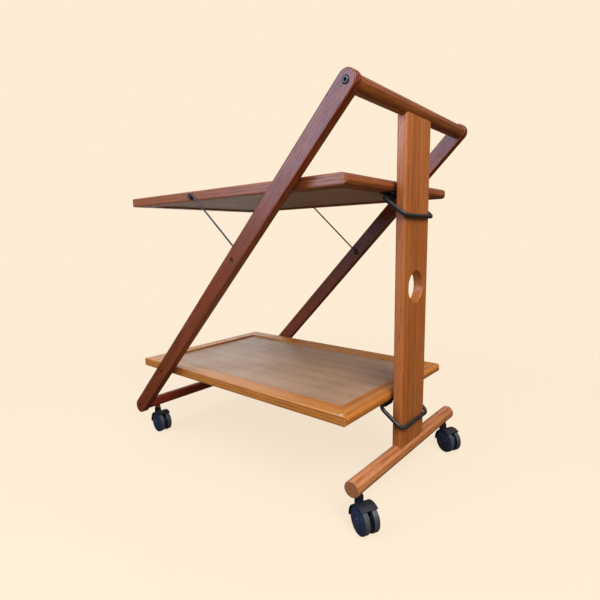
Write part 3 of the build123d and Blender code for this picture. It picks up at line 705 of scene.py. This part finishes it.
def piece_from(name: str, shape: Shape, material: Material, body: str,
               stands_for: Iterable[str], smooth_below: float = 32.0) -> Piece:
    """Turn a finished bmesh into a piece that rides a body.

    Args:
        name: Name of the piece.
        shape: Its mesh, in place. It is freed.
        material: The finish.
        body: The body that it rides on.
        stands_for: The nodes that it replaces.
        smooth_below: Edges that turn by less than this angle, in degrees, are shaded smooth.

    Returns:
        The piece.
    """
    for edge in shape.edges:
        if len(edge.link_faces) == 2:
            edge.smooth = edge.calc_face_angle(0.0) < math.radians(smooth_below)
    for face in shape.faces:
        face.smooth = True
    mesh = bpy.data.meshes.new(name)
    shape.to_mesh(mesh)
    shape.free()
    mesh.materials.append(material)
    return settle(name, mesh, body, stands_for)


def lathe(profile: Sequence[tuple[float, float]], place: Matrix, segments: int = 64) -> Shape:
    """Turn a profile about the local Y axis.

    Args:
        profile: (place along the axis, radius) of each point.
        place: Where the turned piece goes.
        segments: Points round the axis.

    Returns:
        The mesh, facing outwards.
    """
    shape = bmesh.new()
    rings = []
    for along, radius in profile:
        if radius == 0.0:
            rings.append([shape.verts.new((0.0, along, 0.0))])
            continue
        rings.append([shape.verts.new((radius * math.cos(turn), along, radius * math.sin(turn)))
                      for turn in (math.tau * i / segments for i in range(segments))])
    for first, second in zip(rings, rings[1:]):
        for i in range(segments):
            j = (i + 1) % segments
            corners = []
            for vert in (first[i % len(first)], first[j % len(first)],
                         second[j % len(second)], second[i % len(second)]):
                if vert not in corners:
                    corners.append(vert)
            shape.faces.new(corners)
    bmesh.ops.recalc_face_normals(shape, faces=shape.faces)
    shape.transform(place)
    return shape


def eased(corner: tuple[float, float], before: tuple[float, float], after: tuple[float, float],
          reach: float, steps: int = 4) -> list[tuple[float, float]]:
    """Round a profile's corner.

    Args:
        corner: The sharp corner.
        before: The point before it.
        after: The point after it.
        reach: Distance from the corner at which the rounding starts.
        steps: Number of pieces of the rounding.

    Returns:
        The points of the rounded corner.
    """
    middle_point = Vector(corner)
    start = middle_point + (Vector(before) - middle_point).normalized() * reach
    stop = middle_point + (Vector(after) - middle_point).normalized() * reach
    points = []
    for i in range(steps + 1):
        t = i / steps
        point = start * (1 - t) ** 2 + middle_point * 2 * t * (1 - t) + stop * t ** 2
        points.append((point.x, point.y))
    return points


def rounded_profile(points: Sequence[tuple[float, float]], radii: dict[int, float]
                    ) -> list[tuple[float, float]]:
    """Round some corners of an open profile.

    Args:
        points: The sharp profile.
        radii: Corner number to how far its rounding reaches.

    Returns:
        The profile with its corners rounded.
    """
    made: list[tuple[float, float]] = []
    for i, point in enumerate(points):
        if i in radii:
            made += eased(point, points[i - 1], points[i + 1], radii[i])
        else:
            made.append(point)
    return made


# ---------------------------------------------------------------- geometry node tools
def set_inputs(modifier: bpy.types.Modifier, values: dict) -> None:
    """Set a Geometry Nodes modifier's inputs by their names.

    Args:
        modifier: The modifier.
        values: Input name to value.
    """
    for item in modifier.node_group.interface.items_tree:
        if item.item_type == "SOCKET" and item.in_out == "INPUT" and item.name in values:
            modifier[item.identifier] = values[item.name]


def grown(name: str, start: bpy.types.Mesh, tree: Tree, values: dict,
          place: Matrix, body: str, stands_for: Iterable[str]) -> Piece:
    """Run a Geometry Nodes tree and keep its result as a plain piece.

    Args:
        name: Name of the piece.
        start: The mesh that the tree works on.
        tree: The tree.
        values: Its named inputs.
        place: Where the result goes.
        body: The body that it rides on.
        stands_for: The nodes that it replaces.

    Returns:
        The piece.
    """
    source = bpy.data.objects.new(f"{name}_source", start)
    bpy.context.scene.collection.objects.link(source)
    modifier = source.modifiers.new("grow", "NODES")
    modifier.node_group = tree
    set_inputs(modifier, values)
    graph = bpy.context.evaluated_depsgraph_get()
    mesh = bpy.data.meshes.new_from_object(source.evaluated_get(graph), depsgraph=graph)
    source.modifiers.remove(modifier)
    bpy.data.objects.remove(source)
    mesh.name = name
    mesh.transform(place)
    return settle(name, mesh, body, stands_for)


def bent_rod_tree() -> Tree:
    """A ring of bent rod: a rectangle's outline with rounded corners, given a round section.

    Returns:
        The Geometry Nodes tree.
    """
    tree, given, out = new_group(
        "bent_rod", "GeometryNodeTree",
        [("Geometry", "NodeSocketGeometry", None), ("Across", FLOAT, 0.1), ("Reach", FLOAT, 0.06),
         ("Bend Radius", FLOAT, 0.013), ("Rod Radius", FLOAT, 0.004),
         ("Finish", "NodeSocketMaterial", None)],
        [("Geometry", "NodeSocketGeometry")])
    outline = add(tree, "GeometryNodeCurvePrimitiveQuadrilateral", {"mode": "RECTANGLE"},
                  {"Width": given.outputs["Across"], "Height": given.outputs["Reach"]})
    rounded = add(tree, "GeometryNodeFilletCurve", {"mode": "POLY"},
                  {"Curve": outline.outputs[0], "Radius": given.outputs["Bend Radius"],
                   "Count": 12})
    section = add(tree, "GeometryNodeCurvePrimitiveCircle", {"mode": "RADIUS"},
                  {"Resolution": 20, "Radius": given.outputs["Rod Radius"]})
    rod = add(tree, "GeometryNodeCurveToMesh", None,
              {"Curve": rounded.outputs[0], "Profile Curve": section.outputs[0]})
    smooth = add(tree, "GeometryNodeSetShadeSmooth", None, {"Geometry": rod.outputs[0]})
    real = add(tree, "GeometryNodeRealizeInstances", None, {"Geometry": smooth.outputs[0]})
    coated = add(tree, "GeometryNodeSetMaterial", None,
                 {"Geometry": real.outputs[0], "Material": given.outputs["Finish"]})
    tree.links.new(coated.outputs[0], out.inputs["Geometry"])
    return tree


def fastener_tree() -> Tree:
    """Screw heads set on points, each facing along its point's direction and turned its own way.

    Returns:
        The Geometry Nodes tree.
    """
    tree, given, out = new_group(
        "set_fasteners", "GeometryNodeTree",
        [("Geometry", "NodeSocketGeometry", None), ("Head", "NodeSocketObject", None),
         ("Seed", "NodeSocketInt", 3), ("Finish", "NodeSocketMaterial", None)],
        [("Geometry", "NodeSocketGeometry")])
    facing = add(tree, "GeometryNodeInputNamedAttribute", {"data_type": "FLOAT_VECTOR"},
                 {"Name": "facing"})
    aligned = add(tree, "FunctionNodeAlignRotationToVector", {"axis": "Z"},
                  {"Vector": facing.outputs["Attribute"]})
    head = add(tree, "GeometryNodeObjectInfo", {"transform_space": "ORIGINAL"},
               {"Object": given.outputs["Head"]})
    placed = add(tree, "GeometryNodeInstanceOnPoints", None,
                 {"Points": given.outputs["Geometry"], "Instance": head.outputs["Geometry"],
                  "Rotation": aligned.outputs[0]})
    random_turn = add(tree, "FunctionNodeRandomValue", {"data_type": "FLOAT"},
                      {"Min": 0.0, "Max": math.tau, "Seed": given.outputs["Seed"]})
    spin = add(tree, "ShaderNodeCombineXYZ", None, {"Z": random_turn.outputs["Value"]})
    turned = add(tree, "GeometryNodeRotateInstances", None,
                 {"Instances": placed.outputs[0], "Rotation": spin.outputs[0]})
    real = add(tree, "GeometryNodeRealizeInstances", None, {"Geometry": turned.outputs[0]})
    coated = add(tree, "GeometryNodeSetMaterial", None,
                 {"Geometry": real.outputs[0], "Material": given.outputs["Finish"]})
    tree.links.new(coated.outputs[0], out.inputs["Geometry"])
    return tree


@dataclass(frozen=True)
class DriverHead:
    """A screw head with an eased rim and a driver's cross."""

    radius: float
    height: float
    rim: float = 0.8 * MM
    cross_long: float = 2.8 * MM
    cross_wide: float = 0.55 * MM
    cross_deep: float = 1.5 * MM
    cross_foot: float = 0.75
    rim_bulge: float = 0.3
    segments: int = 28

    def mesh(self) -> bpy.types.Mesh:
        """Build the head, its seat at the origin.

        Returns:
            The mesh.
        """
        shape = bmesh.new()
        levels = [(self.radius, 0.0), (self.radius, self.height - self.rim),
                  (self.radius - self.rim * self.rim_bulge,
                   self.height - self.rim * self.rim_bulge),
                  (self.radius - self.rim, self.height)]
        rings = [[shape.verts.new((r * math.cos(math.tau * i / self.segments),
                                   r * math.sin(math.tau * i / self.segments), z))
                  for i in range(self.segments)] for r, z in levels]
        for low, high in zip(rings, rings[1:]):
            for i in range(self.segments):
                j = (i + 1) % self.segments
                shape.faces.new((low[i], low[j], high[j], high[i]))
        shape.faces.new(list(reversed(rings[0])))
        a, b = self.cross_long, self.cross_wide
        corners = [(a, b), (b, b), (b, a), (-b, a), (-b, b), (-a, b),
                   (-a, -b), (-b, -b), (-b, -a), (b, -a), (b, -b), (a, -b)]
        top = [shape.verts.new((x, y, self.height)) for x, y in corners]
        base = [shape.verts.new((x * self.cross_foot, y * self.cross_foot,
                                 self.height - self.cross_deep)) for x, y in corners]
        for i in range(len(top)):
            j = (i + 1) % len(top)
            shape.faces.new((top[i], top[j], base[j], base[i]))
        shape.faces.new(base)
        rim_edges = [e for e in shape.edges
                     if all(v in rings[-1] for v in e.verts) or all(v in top for v in e.verts)]
        bmesh.ops.triangle_fill(shape, edges=rim_edges, use_beauty=True)
        bmesh.ops.recalc_face_normals(shape, faces=shape.faces)
        mesh = bpy.data.meshes.new("driver_head")
        shape.to_mesh(mesh)
        shape.free()
        return mesh


def fasteners(name: str, head: DriverHead, spots: Sequence[tuple[Vector, Vector]], tree: Tree,
              material: Material, body: str, stands_for: Iterable[str], seed: int
              ) -> Piece:
    """Set a group of screw heads.

    Args:
        name: Name of the piece.
        head: The head's sizes.
        spots: (seat, direction it faces) of each screw.
        tree: The Geometry Nodes tree that sets them.
        material: The finish.
        body: The body that they ride on.
        stands_for: The nodes that they replace.
        seed: Seed of their turns.

    Returns:
        The piece.
    """
    template = bpy.data.objects.new(f"{name}_head", head.mesh())
    points = bpy.data.meshes.new(f"{name}_points")
    points.from_pydata([seat for seat, _ in spots], [], [])
    facing = points.attributes.new("facing", "FLOAT_VECTOR", "POINT")
    for item, (_, direction) in zip(facing.data, spots):
        item.vector = direction
    piece = grown(name, points, tree, {"Head": template, "Seed": seed, "Finish": material},
                  Matrix.Identity(4), body, stands_for)
    bpy.data.objects.remove(template)
    return piece


# ---------------------------------------------------------------- sub-assemblies
@dataclass
class PostFrame:
    """The upright board with its handle bar, foot bar and handle bolts."""

    effects: Effects
    steel: Material
    brass: Material

    def dress(self) -> None:
        """Give the board, the bars and the bolts their finishes."""
        half = half_size("post")
        dress("post", POST_STAIN.material(
            self.effects, "post", Grain.UPRIGHT, middle("post"), (half.z, half.y, half.x),
            (0.0, 0.012, 0.075)))
        for node, stain, pith in (("handle_bar", HANDLE_STAIN, (0.1, 0.03, 0.02)),
                                  ("foot_bar", FOOT_STAIN, (0.3, 0.004, 0.018))):
            half = half_size(node)
            dress(node, stain.material(self.effects, node, Grain.ACROSS, middle(node),
                                       (half.y, half.x, half.z), pith, square=False))
        dress("post_dowels", POST_STAIN.material(
            self.effects, "dowels", Grain.UPRIGHT, middle("post_dowels"), (1.0, 1.0, 1.0),
            (0.0, 0.0, 0.01), square=False))
        for node in ("handle_bolts", "handle_washers"):
            dress(node, self.steel)
        for node in ("handle_inserts", "rear_sockets"):
            dress(node, self.brass)


@dataclass
class LegFrame:
    """The two sloping legs, the bar between their lower ends, and their screws.

    grain_reach is longer than half a leg, so that its rounded ends aren't taken for cut ones.
    """

    effects: Effects
    screw: Material
    nylon: Material
    brass: Material
    screw_tree: Tree
    head: DriverHead = field(default_factory=lambda: DriverHead(4.9 * MM, 3.4 * MM))
    recess: float = 5.5 * MM
    grain_reach: float = 1.0
    half_width: float = 17.0 * MM

    def dress(self) -> None:
        """Give the legs, the bar and the fittings their finishes."""
        for side, pith in ((Side.LEFT, (0.0, 0.022, 0.03)), (Side.RIGHT, (0.35, -0.02, -0.045))):
            node = f"{side.word}_leg"
            half = half_size(node)
            dress(node, LEG_STAIN.material(
                self.effects, node, Grain.DOWN_LEG, middle(node),
                (self.grain_reach, half.y, self.half_width), pith))
        half = half_size("front_bar")
        dress("front_bar", FRONT_BAR_STAIN.material(
            self.effects, "front_bar", Grain.ACROSS, middle("front_bar"),
            (half.y, half.x, half.z), (0.0, 0.02, 0.03), square=False))
        for node in ("upper_pivot_pins", "stay_studs"):
            dress(node, self.screw)
        dress("pivot_spacers", self.nylon)
        dress("front_sockets", self.brass)

    def build(self) -> None:
        """Set the screw heads in the legs' recesses."""
        spots = []
        for node in ("leg_end_screws", "lower_pivot_screws"):
            place = middle(node)
            for side in Side:
                low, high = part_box(f"{side.word}_leg")
                outer = high.y if side is Side.RIGHT else low.y
                seat = Vector((place.x, outer - side.value * self.recess, place.z))
                spots.append((seat, Vector((0.0, side.value, 0.0))))
        fasteners("leg_screw_heads", self.head, spots, self.screw_tree, self.screw, "leg_frame",
                  ("leg_end_screws", "lower_pivot_screws"), 5)


@dataclass
class Tray:
    """One tray with its rails, panel, hinge bracket and guide loop."""

    level: str
    stain: Stain
    effects: Effects
    veneer: Veneer
    steel: Material
    screw: Material
    brass: Material
    rod_tree: Tree
    screw_tree: Tree
    rod_radius: float = 4.0 * MM
    bend_radius: float = 13.0 * MM
    bracket_screw_across: float = 34.0 * MM
    bracket_screw_along: float = 9.0 * MM
    knock_along: float = 12.0 * MM
    knock_across: float = 4.0 * MM
    knock_radius: float = 6.0 * MM
    head: DriverHead = field(default_factory=lambda: DriverHead(
        3.5 * MM, 1.6 * MM, rim=0.5 * MM, cross_long=1.8 * MM, cross_wide=0.4 * MM,
        cross_deep=0.9 * MM, segments=20))

    @property
    def body(self) -> str:
        """The body that the tray is."""
        return f"{self.level}_tray"

    def dress(self) -> None:
        """Give the rails, the panel and the fittings their finishes."""
        hearts = {"left_rail": (0.12, 0.006, 0.028), "right_rail": (0.42, -0.01, 0.03),
                  "front_rail": (0.2, 0.016, 0.03), "rear_rail": (0.7, -0.014, 0.026)}
        for rail, heart in hearts.items():
            node = f"{self.level}_{rail}"
            half = half_size(node)
            across = rail in ("front_rail", "rear_rail")
            sizes = (half.y, half.x, half.z) if across else (half.x, half.y, half.z)
            spot = None
            if node == "lower_left_rail":
                low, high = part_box(node)
                knock = Vector((high.x - self.knock_along, low.y + self.knock_across, high.z))
                spot = (knock, self.knock_radius)
            dress(node, self.stain.material(
                self.effects, node, Grain.ACROSS if across else Grain.ALONG, middle(node),
                sizes, heart, bare_spot=spot))
        dress(f"{self.level}_panel", self.veneer.material(
            self.effects, self.level, middle(f"{self.level}_panel")))
        dress(f"{self.level}_bracket", self.steel)
        dress(f"{self.level}_pivot_inserts", self.brass)

    def build(self) -> None:
        """Bend the guide loop and set the bracket's screws."""
        low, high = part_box(f"{self.level}_loop")
        rod = self.rod_radius
        front, back = Vector((low.x + rod, 0, high.z - rod)), Vector((high.x - rod, 0, low.z + rod))
        reach = back - front
        along = reach.normalized()
        across = Vector((0, 1, 0))
        up = across.cross(along)
        place = Matrix.Translation((front + back) / 2) @ Matrix(
            (across, along, up)).transposed().to_4x4()
        grown(f"{self.level}_guide_loop", bpy.data.meshes.new("loop_start"), self.rod_tree,
              {"Across": high.y - low.y - 2 * rod, "Reach": reach.length,
               "Bend Radius": self.bend_radius, "Rod Radius": rod, "Finish": self.steel},
              place, f"{self.level}_guide", (f"{self.level}_loop",))
        heads_low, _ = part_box(f"{self.level}_bracket_screws")
        centre = middle(f"{self.level}_bracket_screws")
        seat_z = heads_low.z + self.head.height
        spots = [(Vector((centre.x + i * self.bracket_screw_along,
                          j * self.bracket_screw_across, seat_z)), Vector((0, 0, -1)))
                 for i in (-1, 1) for j in (-1, 1)]
        fasteners(f"{self.level}_bracket_heads", self.head, spots, self.screw_tree, self.screw,
                  self.body, (f"{self.level}_bracket_screws",), 11)


@dataclass
class Caster:
    """A twin-wheel caster: stem, hood, axle and two domed wheels."""

    corner: str
    nylon: Material
    tread: Material
    plastic: Material
    steel: Material
    stem_finish: Material
    wheel_radius: float = 25.0 * MM
    wheel_width: float = 15.5 * MM
    inner: float = 4.0 * MM
    dome: float = 5.5 * MM
    bore: float = 3.1 * MM
    tread_edge: float = 1.6 * MM
    tread_depth: float = 0.3 * MM
    groove: float = 0.5 * MM
    cap_radius: float = 9.5 * MM
    cap_lip: float = 0.45 * MM
    dome_steps: int = 12

    def dress(self) -> None:
        """Give the stem, the hood and the axle their finishes."""
        dress(f"{self.corner}_stem", self.stem_finish)
        dress(f"{self.corner}_housing", self.plastic)
        dress(f"{self.corner}_axle", self.steel)

    def wheel_profile(self) -> list[tuple[float, float]]:
        """The wheel's section, from its bore round the rim to the dome's middle.

        Returns:
            (place along the axle, radius) of each point.
        """
        near, far, rim = self.inner, self.inner + self.wheel_width, self.wheel_radius
        shoulder = far - self.dome
        # From the bore over the hollow inner face to the tread, and the groove before the dome.
        sharp = [(near + 3 * MM, self.bore), (near + 0.4 * MM, self.bore),
                 (near + 0.4 * MM, rim - 9 * MM), (near + 2 * MM, rim - 8 * MM),
                 (near + 2 * MM, rim - 4 * MM), (near, rim - 3 * MM), (near, rim),
                 (shoulder - 0.8 * MM, rim), (shoulder - 0.6 * MM, rim - self.groove),
                 (shoulder - 0.1 * MM, rim - self.groove), (shoulder + 0.4 * MM, rim - 0.4 * MM)]
        points = rounded_profile(sharp, {3: 0.8 * MM, 4: 0.8 * MM, 6: self.tread_edge})
        # The dome is a part of a sphere, with a shallow ring round its cap.
        dome_radius = (rim ** 2 + self.dome ** 2) / (2 * self.dome)
        dome_edge = rim - 1.2 * MM
        cap, lip = self.cap_radius, self.cap_lip
        for i in range(1, self.dome_steps):
            radius = dome_edge * (1 - i / self.dome_steps)
            outside = dome_edge * (1 - (i - 1) / self.dome_steps)
            height = far - dome_radius + math.sqrt(dome_radius ** 2 - radius ** 2)
            if radius < cap <= outside:
                edge = far - dome_radius + math.sqrt(dome_radius ** 2 - cap ** 2)
                points += [(edge, cap), (edge - lip, cap - 0.3 * MM),
                           (edge - lip, cap - 0.9 * MM), (edge + 0.1 * MM, cap - 1.3 * MM)]
            if radius < cap - 1.5 * MM or radius > cap:
                points.append((height, radius))
        points.append((far - 0.05 * MM, 0.0))
        return points

    def build(self) -> None:
        """Turn the two wheels."""
        for side in Side:
            node = f"{self.corner}_{side.word}_wheel"
            hub = middle(f"{self.corner}_axle")
            outward = middle(node) - hub
            outward.z = 0.0
            outward.normalize()
            aside = Vector((outward.y, -outward.x, 0.0))
            place = Matrix.Translation(hub) @ Matrix(
                (aside, outward, Vector((0, 0, 1)))).transposed().to_4x4()
            shape = lathe(self.wheel_profile(), place)
            for face in shape.faces:
                arm = face.calc_center_median() - hub
                from_axle = (arm - outward * arm.dot(outward)).length
                face.material_index = int(from_axle > self.wheel_radius - self.tread_depth)
            wheel = piece_from(f"{node}_turned", shape, self.nylon,
                               f"{self.corner}_{side.word}_roller", (node,))
            wheel.data.materials.append(self.tread)


# ---------------------------------------------------------------- camera, floor and light
@dataclass(frozen=True)
class Lamp:
    """A square soft lamp: where it hangs, what it points at, its side, power and colour."""

    name: str
    spot: tuple[float, float, float]
    aim: tuple[float, float, float]
    side: float
    power: float
    colour: Colour

    def hang(self) -> None:
        """Put the lamp into the scene."""
        data = bpy.data.lights.new(self.name, "AREA")
        data.shape = "SQUARE"
        data.size = self.side
        data.energy = self.power
        data.color = self.colour
        lamp = bpy.data.objects.new(self.name, data)
        bpy.context.scene.collection.objects.link(lamp)
        lamp.location = self.spot
        towards = Vector(self.aim) - Vector(self.spot)
        lamp.rotation_euler = towards.to_track_quat("-Z", "Y").to_euler()


LAMPS = (
    Lamp("key", (1.5, -0.9, 1.7), (0.1, 0.0, 0.3), 1.3, 46.0, (1.0, 0.92, 0.82)),
    Lamp("window", (-0.7, -1.55, 1.25), (0.1, 0.0, 0.6), 1.2, 27.0, (0.58, 0.72, 1.0)),
    Lamp("far_side", (-2.3, 1.5, 0.85), (0.0, 0.0, 0.2), 1.3, 8.0, (1.0, 0.95, 0.9)),
    Lamp("top", (0.0, 0.0, 2.4), (0.0, 0.0, 0.0), 1.6, 14.0, (1.0, 0.97, 0.93)))


@dataclass
class Studio:
    """The camera, the pale floor and the soft light.

    The floor shows paper colour to the camera, with a faint shadow near the cart: the plain
    paper takes over from paper_near to paper_far. What the cart mirrors of it is dark.
    """

    eye: Vector = field(default_factory=lambda: Vector((0.68096, -0.77247, 0.49918)))
    forward: Vector = field(default_factory=lambda: Vector((-0.62851, 0.76112, -0.16022)))
    roll: float = -0.978
    lens: float = 26.112
    shift: tuple[float, float] = (-0.00999, 0.01374)
    paper: Colour = (0.991, 0.838, 0.658)
    floor_bounce: float = 0.24
    floor_glow: float = 0.86
    floor_shading: float = 0.13
    mirrored_floor: Colour = (0.07, 0.045, 0.025)
    paper_near: float = 0.5
    paper_far: float = 1.6
    floor_reach: float = 30.0
    sky_low: Colour = (0.12, 0.085, 0.06)
    sky_high: Colour = (0.62, 0.62, 0.66)
    sky_strength: float = 0.55

    def build(self) -> None:
        """Set up everything that isn't the cart."""
        self.camera()
        self.floor()
        self.sky()
        for lamp in LAMPS:
            lamp.hang()
        bpy.context.scene.view_settings.view_transform = "Standard"

    def camera(self) -> None:
        """Stand the camera."""
        data = bpy.data.cameras.new("view")
        data.lens, data.shift_x, data.shift_y = self.lens, *self.shift
        data.clip_start, data.clip_end = 0.01, 50.0
        camera = bpy.data.objects.new("view", data)
        bpy.context.scene.collection.objects.link(camera)
        ahead = self.forward.normalized()
        right = ahead.cross(Vector((0, 0, 1))).normalized()
        up = right.cross(ahead)
        c, s = math.cos(math.radians(self.roll)), math.sin(math.radians(self.roll))
        right, up = right * c + up * s, up * c - right * s
        camera.matrix_world = Matrix.Translation(self.eye) @ Matrix(
            (right, up, -ahead)).transposed().to_4x4()
        bpy.context.scene.camera = camera

    def floor(self) -> None:
        """Lay a pale floor that takes a faint soft shadow and looks dark in reflections."""
        mesh = bpy.data.meshes.new("floor")
        far = self.floor_reach
        mesh.from_pydata([(-far, -far, 0), (far, -far, 0), (far, far, 0), (-far, far, 0)], [],
                         [(0, 1, 2, 3)])
        material = bpy.data.materials.new("paper_floor")
        material.use_nodes = True
        tree = material.node_tree
        tree.nodes.clear()
        seen = add(tree, "ShaderNodeLightPath")
        lit = add(tree, "ShaderNodeBsdfDiffuse", None,
                  {"Color": (*[c * self.floor_bounce for c in self.paper], 1)})
        glow = add(tree, "ShaderNodeEmission", None,
                   {"Color": (*self.paper, 1), "Strength": self.floor_glow})
        faint = add(tree, "ShaderNodeBsdfDiffuse", None,
                    {"Color": (*[c * self.floor_shading for c in self.paper], 1)})
        near = add(tree, "ShaderNodeAddShader", None, {0: glow.outputs[0], 1: faint.outputs[0]})
        distant = add(tree, "ShaderNodeEmission", None, {"Color": (*self.paper, 1)})
        away = add(tree, "ShaderNodeVectorMath", {"operation": "LENGTH"},
                   {0: add(tree, "ShaderNodeTexCoord").outputs["Object"]})
        both = add(tree, "ShaderNodeMixShader", None,
                   {0: ramp(tree, away.outputs["Value"], self.paper_near, self.paper_far),
                    1: near.outputs[0], 2: distant.outputs[0]})
        mirrored = add(tree, "ShaderNodeEmission", None, {"Color": (*self.mirrored_floor, 1)})
        bounced = add(tree, "ShaderNodeMixShader", None,
                      {0: seen.outputs["Is Glossy Ray"], 1: lit.outputs[0],
                       2: mirrored.outputs[0]})
        choice = add(tree, "ShaderNodeMixShader", None,
                     {0: seen.outputs["Is Camera Ray"], 1: bounced.outputs[0],
                      2: both.outputs[0]})
        out = add(tree, "ShaderNodeOutputMaterial")
        tree.links.new(choice.outputs[0], out.inputs["Surface"])
        mesh.materials.append(material)
        floor = bpy.data.objects.new("floor", mesh)
        bpy.context.scene.collection.objects.link(floor)

    def sky(self) -> None:
        """Paper colour behind the cart, and a soft sky that lights it from above."""
        world = bpy.data.worlds.new("studio")
        bpy.context.scene.world = world
        world.use_nodes = True
        tree = world.node_tree
        tree.nodes.clear()
        seen = add(tree, "ShaderNodeLightPath")
        height = add(tree, "ShaderNodeSeparateXYZ", None,
                     {0: add(tree, "ShaderNodeTexCoord").outputs["Generated"]}).outputs[2]
        tint = blend_colour(tree, ramp(tree, height, -0.1, 0.8), (*self.sky_low, 1),
                            (*self.sky_high, 1))
        light = add(tree, "ShaderNodeBackground", None,
                    {"Color": tint, "Strength": self.sky_strength})
        paper = add(tree, "ShaderNodeBackground", None, {"Color": (*self.paper, 1)})
        choice = add(tree, "ShaderNodeMixShader", None,
                     {0: seen.outputs["Is Camera Ray"], 1: light.outputs[0], 2: paper.outputs[0]})
        out = add(tree, "ShaderNodeOutputWorld")
        tree.links.new(choice.outputs[0], out.inputs["Surface"])


def main() -> None:
    """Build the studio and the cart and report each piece."""
    logging.basicConfig(level=logging.INFO, format="%(name)s: %(message)s")
    Studio().build()
    effects = Effects()
    steel, screw = BLACK_STEEL.material(effects), DARK_SCREW.material(effects)
    zinc, brass = GREY_STEEL.material(effects), BRASS.material(effects)
    nylon, tread = WHEEL_NYLON.material(effects), TREAD_NYLON.material(effects)
    hood = HOOD_PLASTIC.material(effects)
    rod_tree, screw_tree = bent_rod_tree(), fastener_tree()
    PostFrame(effects, steel, brass).dress()
    legs = LegFrame(effects, screw, SPACER_NYLON.material(effects), brass, screw_tree)
    legs.dress()
    legs.build()
    for level, stain in (("upper", UPPER_STAIN), ("lower", LOWER_STAIN)):
        tray = Tray(level, stain, effects, Veneer(), steel, zinc, brass, rod_tree, screw_tree)
        tray.dress()
        tray.build()
    for node in ("left_stay", "right_stay", "stay_screws"):
        dress(node, steel)
    for end, stem_finish in (("rear", steel), ("front", brass)):
        for side in Side:
            caster = Caster(f"{end}_{side.word}", nylon, tread, hood, zinc, stem_finish)
            caster.dress()
            caster.build()
    log.info("sizes written")


if __name__ == "__main__":
    main()
